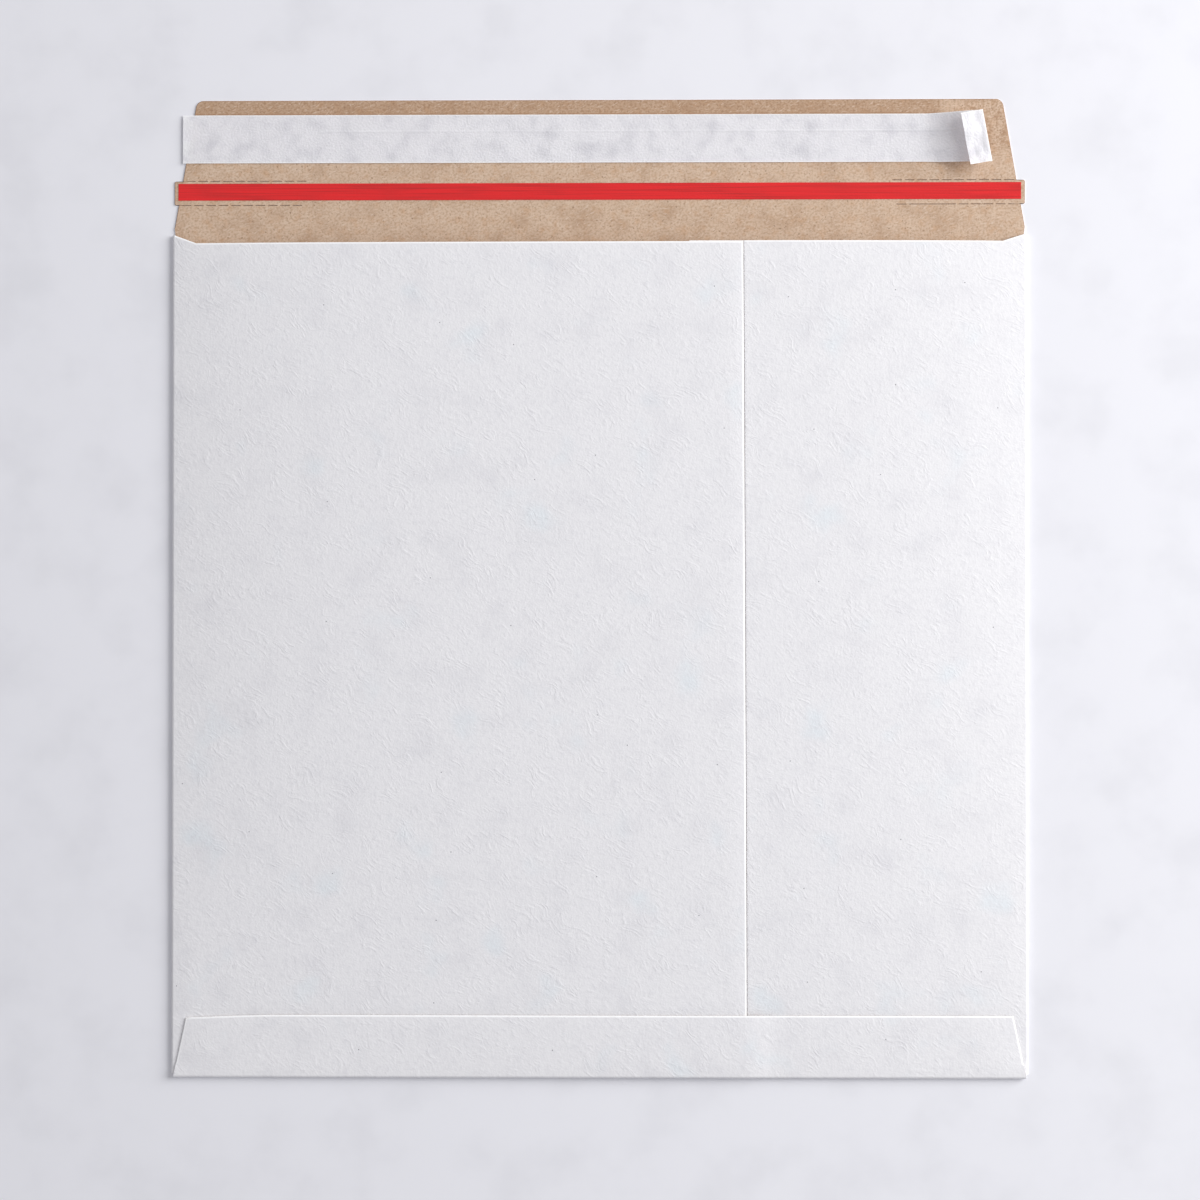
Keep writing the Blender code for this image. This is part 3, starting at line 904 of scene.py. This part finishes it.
    def back_sheet(self) -> bpy.types.Object:
        """The back panel and the closing flap, flat in one sheet."""
        sheet = new_sheet("back_sheet", (-self.half, self.start), (self.half, self.height), self.back_z)
        crease = self.height + self.crease_setback
        ups = [self.height, crease, self.height + self.bend_end, self.strip_low, self.strip_high, self.top]
        bend = spaced(self.height, self.height + self.bend_end, self.bend_rows)
        with Bench(sheet) as bench:
            for low, high in zip(ups, ups[1:]):
                bench.select(Element.EDGE, on_plane(1, low))
                bench.extrude((0.0, high - low, 0.0))
                narrowed = self.flap_half(high) / self.flap_half(low)
                bpy.ops.transform.resize(value=(narrowed, 1.0, 1.0), center_override=(0.0, high, 0.0))
            bench.select(Element.EDGE, on_plane(1, self.start))
            bench.extrude((0.0, self.fold_reach - self.start, 0.0))
            for side in Side:
                self.add_tab(bench, side)
            bench.select(Element.VERT, on_plane(1, self.top))
            bpy.ops.mesh.bevel(offset=self.corner, segments=self.corner_steps, affect="VERTICES")
            bench.select(Element.VERT, lambda co: abs(abs(co.x) - self.tab_x) < WELD)
            bpy.ops.mesh.bevel(offset=self.tab_corner, segments=self.tab_steps, affect="VERTICES")
            bench.cut(0, self.column_places())
            bench.cut(1, self.row_places() + bend[1:-1])
            for line in (self.strip_low, self.strip_high):
                self.perforate(bench, line)
        lay_out(sheet, lambda co: (co.x, co.y))
        return sheet

    def slits(self, line: float) -> list[tuple[float, float]]:
        """The ends along X of each slit on one of the tear strip's edges.

        Args:
            line: The edge's height.

        Returns:
            The ends, with the stretch whose ties have torn as one slit.
        """
        found = []
        for side in Side:
            end = self.flap_half(line) - self.slit_tie
            for i in range(self.slits_per_line):
                start = end - self.slit_length
                found.append(tuple(sorted((side.value * start, side.value * end))))
                if side is Side.RIGHT and line == self.strip_low and i in self.torn_ties:
                    found.append((start - self.slit_tie, start))
                end = start - self.slit_tie
        return found

    def perforate(self, bench: Bench, line: float) -> None:
        """Opens the slits along one of the tear strip's edges.

        Args:
            bench: The back sheet in edit mode.
            line: The edge's height.
        """
        reach = self.slit_width / 2
        slits = self.slits(line)
        ends = sorted({round(end, 7) for slit in slits for end in slit})

        def on_line(co: Vector) -> bool:
            """Whether a point lies on the line that the slits follow."""
            return abs(co.y - line) < reach + WELD

        bench.cut(1, [line - self.cut_gap, line - reach, line + reach, line + self.cut_gap])
        bench.cut(0, ends, on_line)
        for low, high in slits:
            bench.drop(lambda co: on_line(co) and low - WELD < co.x < high + WELD)

    def at_slit(self, co: Vector) -> bool:
        """Whether a point lies on a line of slits, inside the flap's edges."""
        near = min(abs(co.y - self.strip_low), abs(co.y - self.strip_high))
        return near < self.slit_width / 2 + WELD and abs(co.x) < self.flap_half(co.y) - self.slit_tie / 2

    def add_tab(self, bench: Bench, side: Side) -> None:
        """Draws the tear strip's end out to its tab.

        Args:
            bench: The back sheet in edit mode.
            side: Which end.
        """
        low, high = self.strip_low - WELD, self.strip_high + WELD
        inner = self.flap_half(high) - WELD
        bench.select(Element.EDGE, lambda co: low < co.y < high and co.x * side.value > inner)
        bench.extrude((side.value * MM, 0.0, 0.0))
        bpy.ops.transform.resize(value=(0.0, 1.0, 1.0), center_override=(side.value * self.tab_x, 0.0, 0.0))

    def past_fold(self, outwards: float, z: float, radius: float) -> float:
        """How far a point lies past the start of a fold, along the sheet.

        Args:
            outwards: How far out it is from where the fold starts, negative on the layer that comes back.
            z: Its height.
            radius: The fold's radius.

        Returns:
            The distance along the sheet.
        """
        turned = math.atan2(outwards, self.back_z + radius - z)
        return radius * (turned if turned > 0 else math.pi) + max(0.0, -outwards)

    def front_panel(self, side: Side) -> bpy.types.Object:
        """A side fold with its front panel.

        Args:
            side: Which side fold it hangs on.

        Returns:
            The shaped sheet.
        """
        sign = side.value
        edge = sign * self.half
        free = self.seam_x if side is Side.LEFT else self.hidden_x
        radius = self.side_radius
        panel = new_sheet("front_panel", (edge - MM, self.start), (edge, self.height), self.back_z)
        with Bench(panel) as bench:
            bench.select(Element.EDGE, on_plane(0, edge))
            centre = (edge, 0.0, self.back_z + radius)
            turn = sign * math.pi
            bpy.ops.mesh.spin(steps=self.fold_steps, angle=turn, center=centre, axis=(0.0, 1.0, 0.0))
            bench.extrude((sign * self.bevel_x - edge, 0.0, 0.0))
            bench.extrude((free - sign * self.bevel_x, 0.0, 0.0))
            on_front = on_plane(2, self.back_z + 2 * radius)
            bench.select(
                Element.VERT,
                lambda co: on_front(co) and co.y > self.mouth and abs(co.x) < self.bevel_x + WELD,
            )
            lower = self.mouth_drop + (self.left_lower if side is Side.LEFT else 0.0)
            bpy.ops.transform.translate(value=(0.0, -lower, 0.0))
            bench.drop(on_plane(2, self.back_z))
            near_seam = spaced(self.seam_x, self.seam_x + self.press_run, 4)
            bench.cut(0, self.column_places() + (near_seam if side is Side.RIGHT else []))
            bench.cut(1, self.row_places())
        height_of = self.left_z if side is Side.LEFT else self.right_z

        def unfolded(co: Vector) -> tuple[float, float]:
            """The place on the flat blank, whose front panels lie beyond the side folds."""
            return sign * (self.half + self.past_fold(sign * (co.x - edge), co.z, radius)), co.y

        def shaped(co: Vector) -> Vector:
            """The panel's place, with its curve over the pouch and what the glued edges press down."""
            if sign * co.x > self.half - WELD:
                return co
            from_fold = smooth((self.half - abs(co.x)) / self.slope_side_run)
            z = height_of(co.x, co.y) - self.slope(co.y) * from_fold
            if side is Side.RIGHT:
                z -= self.press * (1 - smooth((co.x - self.seam_x) / self.press_run))
            return Vector((co.x + self.slanted(co), co.y, z))

        lay_out(panel, unfolded)
        reshape(panel, shaped)
        return panel

    def bottom_sheet(self) -> bpy.types.Object:
        """The bottom fold with its flap."""
        radius = self.bottom_radius
        flap = new_sheet("bottom_sheet", (-self.half, self.fold_reach), (self.half, self.start), self.back_z)
        with Bench(flap) as bench:
            bench.select(Element.EDGE, on_plane(1, self.fold_reach))
            centre = (0.0, self.fold_reach, self.back_z + radius)
            bpy.ops.mesh.spin(steps=self.fold_steps, angle=math.pi, center=centre, axis=(1.0, 0.0, 0.0))
            bench.extrude((0.0, self.bottom_flap - self.fold_reach, 0.0))
            narrowed = (self.half - self.bottom_inset) / self.half
            bpy.ops.transform.resize(value=(narrowed, 1.0, 1.0), center_override=(0.0, 0.0, 0.0))
            bench.drop(on_plane(2, self.back_z))
            step = spaced(self.seam_x, self.seam_x + self.step_run, 5)
            bench.cut(0, self.column_places() + step)
            bench.cut(1, spaced(self.fold_reach, self.bottom_flap, 5)[1:-1])

        def unfolded(co: Vector) -> tuple[float, float]:
            """The place on the flat blank, whose bottom flap lies below the bottom fold."""
            return co.x, self.fold_reach - self.past_fold(self.fold_reach - co.y, co.z, radius)

        def shaped(co: Vector) -> Vector:
            """The fold pulled to the layers' height, and the flap on the front panels, its left end lower."""
            if co.y > self.fold_reach + WELD:
                out = (co.y - self.fold_reach) / (self.bottom_flap - self.fold_reach)
                near_end = max(0.0, 1 - (co.x + self.half) / self.droop_run)
                up = co.y - self.bottom_droop * out * near_end**self.droop_curve
                return Vector((co.x, up, self.bottom_z(co.x, co.y)))
            half_height = (self.bottom_z(co.x, self.fold_reach) - self.back_z) / 2
            reach = (self.fold_reach - self.board / 2) / radius
            up = self.fold_reach - reach * (self.fold_reach - co.y)
            return Vector((co.x, up, self.back_z + half_height * (co.z - self.back_z) / radius))

        lay_out(flap, unfolded)
        reshape(flap, shaped)
        return flap

    def build(self) -> bpy.types.Object:
        """Joins the sheets into one, gives it its thickness and crushes its cut edges."""
        panels = [self.front_panel(side) for side in Side]
        blank = join([self.back_sheet(), *panels, self.bottom_sheet()])
        blank.name = "board_blank"
        outward(blank, downwards=True)
        for finish in (
            WhiteLinerboard("white_linerboard", roughness=0.72),
            KraftBoard("unbleached_kraft", roughness=0.82),
            # the cut edges, near-white, partly painted highlight
            CutBoard("die_cut_edge_painted_highlight", roughness=0.8),
            # the flap's crushed inner edges and the slits, darker brown, partly painted shade
            CutBoard("crushed_kraft_edge_painted_shade", roughness=0.75, colour="#9E7A5C", shade="#84624A"),
        ):
            blank.data.materials.append(finish.build())
        apply_modifier(
            blank,
            "SOLIDIFY",
            thickness=self.board,
            offset=0.0,
            use_even_offset=True,
            material_offset=Face.INNER.value,
            material_offset_rim=Face.CUT.value,
        )
        with Bench(blank) as bench:
            self.crush_edges(bench)
        settle(blank, self.bottom, self.sharp)
        return blank

    def crush_edges(self, bench: Bench) -> None:
        """Chamfers the cut edges of the front panels, both flaps and the slits.

        Args:
            bench: The thickened blank in edit mode.
        """
        front_z = self.back_z + 2 * self.side_radius
        front_half = self.half + self.corner_slack
        above_crease = self.height + self.crease_setback

        def in_front(co: Vector) -> bool:
            """Whether a point is on a front panel or the bottom flap, past the folds."""
            return co.z > front_z and abs(co.x) < front_half and co.y > self.fold_reach - WELD

        def on_flap(co: Vector) -> bool:
            """Whether a point is on the closing flap, apart from its slits."""
            return co.z < front_z and co.y > above_crease and not self.at_slit(co)

        edges = [(Face.OUTER, in_front, chamfer, Face.CUT) for chamfer in self.front_chamfers]
        edges.append((Face.INNER, on_flap, self.flap_chamfer, Face.CRUSHED))
        for face, test, chamfer, slot in edges:
            bench.select_between(face, Face.CUT, test)
            bpy.ops.mesh.bevel(
                offset=chamfer, segments=self.chamfer_steps, affect="EDGES", material=slot.value
            )
        # The slits' walls and dents take the darker brown, painted shade down in the narrow slits.
        bench.reface(Face.CUT, Face.CRUSHED, self.at_slit)
        bench.select_between(Face.INNER, Face.CRUSHED, self.at_slit)
        bpy.ops.mesh.bevel(offset=self.slit_dent, segments=1, affect="EDGES", material=Face.CRUSHED.value)


@dataclass
class ReleaseLiner:
    """The release paper over the self-seal strip, its right end peeled up and folded back."""

    blank: BoardBlank
    start: float = 29.35 * MM
    width: float = 19.5 * MM
    thickness: float = 0.08 * MM
    overhang: float = 1.2 * MM
    layer_z: float = 0.74 * MM
    tail_inset: float = 9.8 * MM
    run: float = 24.0 * MM
    rise: float = 5.2 * MM
    fold_radius: float = 0.5 * MM
    tilt: float = math.radians(10.4)
    pitch: float = math.radians(8.5)
    tail: float = 8.75 * MM
    tail_width: float = 21.1 * MM
    crease_up: float = 2.95 * MM
    crease_height: float = 0.11 * MM
    crease_width: float = 0.35 * MM
    crease_from: float = 40.0 * MM
    crease_run: float = 30.0 * MM
    crease_cuts: tuple[float, ...] = (-0.8 * MM, -0.4 * MM, -0.15 * MM, 0.15 * MM, 0.4 * MM, 0.8 * MM)
    cockle: float = 0.12 * MM
    cockle_size: tuple[float, float] = (9.0 * MM, 6.0 * MM)
    cockle_place: float = 4.0  # where in the noise it is read, as left_place and facet_place are
    wrinkle: float = 0.26 * MM
    wrinkle_length: float = 2.4 * MM  # along the strip for each radian of the wave
    wrinkle_slant: float = 1.3
    wrinkle_lead: float = 4.0 * MM
    wrinkle_in: float = 12.0 * MM
    wrinkle_out: float = 6.0 * MM
    wrinkle_up: float = 1.0 * MM
    wrinkle_up_run: float = 5.0 * MM
    left_lift: float = 0.08 * MM
    left_run: float = 5.0 * MM
    left_size: tuple[float, float] = (3.5 * MM, 3.5 * MM)
    left_place: float = 9.0
    curl: float = 0.14 * MM
    curl_run: float = 0.7 * MM
    curl_cuts: tuple[float, ...] = (0.3, 0.6, 1.0)
    facet: float = 0.7 * MM
    facet_size: tuple[float, float] = (3.6 * MM, 5.0 * MM)
    facet_place: float = 2.0
    facet_run: float = 2.5 * MM
    dent: float = 0.5 * MM
    dent_up: float = 0.5 * MM
    dent_half: float = 6.0 * MM
    dent_slant: float = 0.4
    sharp: float = math.radians(50.0)
    flat_steps: int = 110
    lift_steps: int = 24
    tail_steps: int = 10
    steps_across: int = 12

    def __post_init__(self) -> None:
        """Works out the places that follow from the sizes."""
        self.low = self.blank.height + self.start
        self.middle = self.low + self.width / 2
        self.left = -self.blank.flap_half(self.low) - self.overhang
        self.fold_x = self.blank.flap_half(self.middle) - self.tail_inset
        self.flat = self.fold_x - self.run - self.left
        self.arc = self.fold_radius * (math.pi - self.pitch)
        self.length = self.flat + self.run + self.arc + self.tail

    def ripple(self, along: float, across: float) -> float:
        """The paper's cockle, its lengthwise crease and the wrinkles where it starts to lift."""
        height = self.cockle * rough(along, across, self.cockle_size, self.cockle_place)
        ridge = math.exp(-(((across - self.crease_up) / self.crease_width) ** 2))
        height += self.crease_height * ridge * smooth((along - self.crease_from) / self.crease_run)
        lifting = smooth((along - self.flat + self.wrinkle_lead) / self.wrinkle_in)
        lifting *= smooth((self.flat + self.run - along) / self.wrinkle_out)
        lifting *= smooth((across - self.wrinkle_up) / self.wrinkle_up_run)
        slanted = along - self.wrinkle_slant * across
        height += self.wrinkle * lifting * math.sin(slanted / self.wrinkle_length)
        uneven = 0.5 + rough(0.0, across, self.left_size, self.left_place)
        height += self.left_lift * uneven * (1 - smooth(along / self.left_run))
        height += self.curl * (1 - smooth((across + self.width / 2) / self.curl_run))
        return height

    def crumple(self, out: float, across: float) -> float:
        """The facets in the folded-back end, and its slanted dent."""
        facets = self.facet * rough(out, across, self.facet_size, self.facet_place)
        beside = abs(across - self.dent_up + self.dent_slant * out) / self.dent_half
        return smooth(out / self.facet_run) * (facets - self.dent * max(0.0, 1 - beside))

    def place(self, co: Vector) -> Vector:
        """Where a point of the flat strip lies once its end is lifted and folded back.

        Args:
            co: The point, with X along the strip from its left end and Y across it.

        Returns:
            The place, with Y counted from the bottom fold.
        """
        along, across = co.x, co.y
        if along <= self.flat:
            lift = max(0.0, self.ripple(along, across))
            return Vector((self.left + along, self.middle + across, self.layer_z + lift))
        share = min(1.0, (along - self.flat) / self.run)
        tilt = self.tilt * share
        spread = across * (1 + (self.tail_width / self.width - 1) * share)
        sideways = Vector((-math.sin(tilt), math.cos(tilt), 0.0))
        if along <= self.flat + self.run:
            base = Vector((self.left + along, self.middle, self.layer_z + self.rise * smooth(share)))
            return base + sideways * spread + Vector((0.0, 0.0, max(0.0, self.ripple(along, across))))
        outwards = Vector((math.cos(tilt), math.sin(tilt), 0.0))
        turned = min(1.0, (along - self.flat - self.run) / self.arc) * (math.pi - self.pitch)
        out = self.fold_radius * math.sin(turned)
        z = self.layer_z + self.rise + self.fold_radius * (1 - math.cos(turned))
        back = max(0.0, along - self.flat - self.run - self.arc)
        out -= back * math.cos(self.pitch)
        z += back * math.sin(self.pitch) + self.crumple(back, across)
        return Vector((self.fold_x, self.middle, z)) + outwards * out + sideways * spread

    def build(self) -> bpy.types.Object:
        """Cuts the flat strip, bends it and gives it its thickness."""
        half = self.width / 2
        liner = new_sheet("release_paper", (0.0, -half), (self.length, half), 0.0)
        ends = [0.0, self.flat, self.flat + self.run, self.flat + self.run + self.arc, self.length]
        steps = [self.flat_steps, self.lift_steps, self.tail_steps, self.tail_steps]
        along = [x for low, high, count in zip(ends, ends[1:], steps) for x in spaced(low, high, count)[1:]]
        ridge = [self.crease_up + step for step in self.crease_cuts]
        curled = [share * self.curl_run - half for share in self.curl_cuts]
        with Bench(liner) as bench:
            bench.cut(0, along[:-1])
            bench.cut(1, spaced(-half, half, self.steps_across)[1:-1] + ridge + curled)
        lay_out(liner, lambda co: (co.x, co.y))
        reshape(liner, self.place)
        outward(liner, downwards=False)
        liner.data.materials.append(ReleasePaper("siliconed_release_paper", roughness=0.42, ior=1.48).build())
        apply_modifier(liner, "SOLIDIFY", thickness=self.thickness, offset=0.0)
        settle(liner, self.blank.bottom, self.sharp)
        return liner


@dataclass
class TearTape:
    """The red film stuck along the tear strip, from tab to tab."""

    cad_low: Vector
    cad_high: Vector
    sag: float = 0.02 * MM
    wave_size: tuple[float, float] = (18.0 * MM, 5.0 * MM)
    wave_place: float = 1.0  # where in the noise it is read
    columns: int = 120
    rows: int = 5
    sharp: float = math.radians(40.0)

    def build(self) -> bpy.types.Object:
        """Draws the film with its faint waves and gives it its thickness."""
        low, high = self.cad_low, self.cad_high
        thickness = high.z - low.z
        tape = new_sheet("tear_film", (low.x, low.y), (high.x, high.y), (low.z + high.z) / 2)
        with Bench(tape) as bench:
            bench.cut(0, spaced(low.x, high.x, self.columns)[1:-1])
            bench.cut(1, spaced(low.y, high.y, self.rows)[1:-1])
        lay_out(tape, lambda co: (co.x, co.y))
        reshape(tape, self.waved)
        outward(tape, downwards=False)
        tape.data.materials.append(TearFilm("red_tear_film_drawn", roughness=0.38, ior=1.49).build())
        apply_modifier(tape, "SOLIDIFY", thickness=thickness, offset=0.0)
        settle(tape, 0.0, self.sharp)
        return tape

    def waved(self, co: Vector) -> Vector:
        """A point of the film, raised a little where it isn't pressed down."""
        lift = self.sag * (1 + rough(co.x, co.y, self.wave_size, self.wave_place))
        return Vector((co.x, co.y, co.z + lift))


@dataclass
class Studio:
    """The floor, the light and the camera."""

    centre: Vector
    lens: float = 100.0
    sensor: float = 36.0
    distance: float = 1.346
    near_clip: float = 0.05
    lean_right: float = math.radians(0.954)
    lean_down: float = math.radians(0.83)
    floor_size: float = 12.0
    key_direction: tuple[float, float, float] = (0.819, 0.295, 0.492)
    key_distance: float = 2.0
    key_size: float = 1.6
    key_power: float = 46.5
    fill: float = 0.455
    fill_colour: str = "#FBFBFF"
    backdrop: str = "#F0EFF7"

    def lay_floor(self) -> bpy.types.Object:
        """A plain floor under the envelope."""
        half = self.floor_size / 2
        floor = new_sheet("floor", (-half, -half), (half, half), 0.0)
        paint = StudioFloor("matt_floor_paint", roughness=0.9, ior=1.45, uv_map=None)
        floor.data.materials.append(paint.build())
        return floor

    def hang_key(self) -> None:
        """The soft lamp, low on the right and a little towards the closing flap."""
        direction = Vector(self.key_direction).normalized()
        bpy.ops.object.select_all(action="DESELECT")
        bpy.ops.object.light_add(type="AREA", location=self.centre + direction * self.key_distance)
        lamp = bpy.context.active_object
        lamp.name = "key_light"
        lamp.data.shape = "DISK"
        lamp.data.size = self.key_size
        lamp.data.energy = self.key_power
        lamp.rotation_euler = (-direction).to_track_quat("-Z", "Y").to_euler()

    def fill_room(self) -> None:
        """Even light from all round, and a pale backdrop where the camera looks past the floor."""
        world = bpy.data.worlds.new("studio_room")
        world.use_nodes = True
        tree = world.node_tree
        lit = tree.nodes["Background"]
        lit.inputs["Color"].default_value = linear(self.fill_colour)
        lit.inputs["Strength"].default_value = self.fill
        seen = add_node(tree, "Background", None, {"Color": linear(self.backdrop), "Strength": 1.0})
        path = add_node(tree, "LightPath").node
        shown = 0.0
        for ray in ("Is Camera Ray", "Is Glossy Ray", "Is Transmission Ray"):
            shown = add_node(tree, "Math", {"operation": "MAXIMUM"}, {0: path.outputs[ray], 1: shown})
        mixed = add_node(tree, "MixShader", None, {0: shown, 1: lit.outputs["Background"], 2: seen})
        tree.links.new(mixed, tree.nodes["World Output"].inputs["Surface"])
        bpy.context.scene.world = world

    def set_camera(self) -> None:
        """Looks straight down on the envelope, leaning a little to its right and bottom sides."""
        back = Vector((math.sin(self.lean_right), -math.sin(self.lean_down), 1.0)).normalized()
        right = Vector((0.0, 1.0, 0.0)).cross(back).normalized()
        up = back.cross(right)
        data = bpy.data.cameras.new("camera")
        data.lens = self.lens
        data.sensor_width = self.sensor
        data.clip_start = self.near_clip
        camera = bpy.data.objects.new("camera", data)
        bpy.context.scene.collection.objects.link(camera)
        turned = Matrix((right, up, back)).transposed().to_4x4()
        camera.matrix_world = Matrix.Translation(self.centre + back * self.distance) @ turned
        bpy.context.scene.camera = camera

    def build(self) -> None:
        """Sets up the studio."""
        self.lay_floor()
        self.hang_key()
        self.fill_room()
        self.set_camera()
        bpy.context.scene.view_settings.view_transform = "Standard"


@dataclass(frozen=True)
class HiddenGlue:
    """The glue lines inside the body and the self-seal strip, which keep their solids."""

    dried: tuple[str, ...] = ("seam_glue", "bottom_glue_left", "bottom_glue_right")
    tacky: tuple[str, ...] = ("closure_adhesive",)

    def dress(self) -> None:
        """Gives each glue line its material."""
        starch = Adhesive("dried_starch_glue", roughness=0.5, uv_map=None)
        acrylic = Adhesive(
            "acrylic_self_seal_film", roughness=0.3, ior=1.47, uv_map=None, colour="#E9E6DA", thin="#DAD5C4"
        )
        for names, finish in ((self.dried, starch), (self.tacky, acrylic)):
            made = finish.build()
            for name in names:
                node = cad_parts[name]
                node.data.materials.clear()
                node.data.materials.append(made)
                "adhesive" if name in self.tacky else "glue"


def main() -> None:
    """Builds the envelope's visible pieces round the frame, then the studio."""
    logging.basicConfig(level=logging.INFO, format="%(name)s: %(message)s")
    body_low, body_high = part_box("envelope_body")
    blank = BoardBlank(bottom=round(body_low.y, 4), half_width=round(body_high.x, 4))
    board = blank.build()
    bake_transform(board)
    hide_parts("envelope_body", "closing_flap")
    log.info("board blank: %d faces", len(board.data.polygons))

    release = ReleaseLiner(blank)
    liner = release.build()
    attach(liner, "flap")
    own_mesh(liner)
    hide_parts("release_liner")
    log.info("release liner: %d faces", len(liner.data.polygons))

    tape = TearTape(*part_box("tear_tape")).build()
    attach(tape, "flap")
    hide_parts("tear_tape")
    log.info("tear tape: %d faces", len(tape.data.polygons))

    HiddenGlue().dress()
    log.info("glue lines and self-seal strip dressed")

    Studio(centre=Vector((0.44 * MM, -4.94 * MM, 0.0))).build()
    log.info("studio set up")


if __name__ == "__main__":
    main()
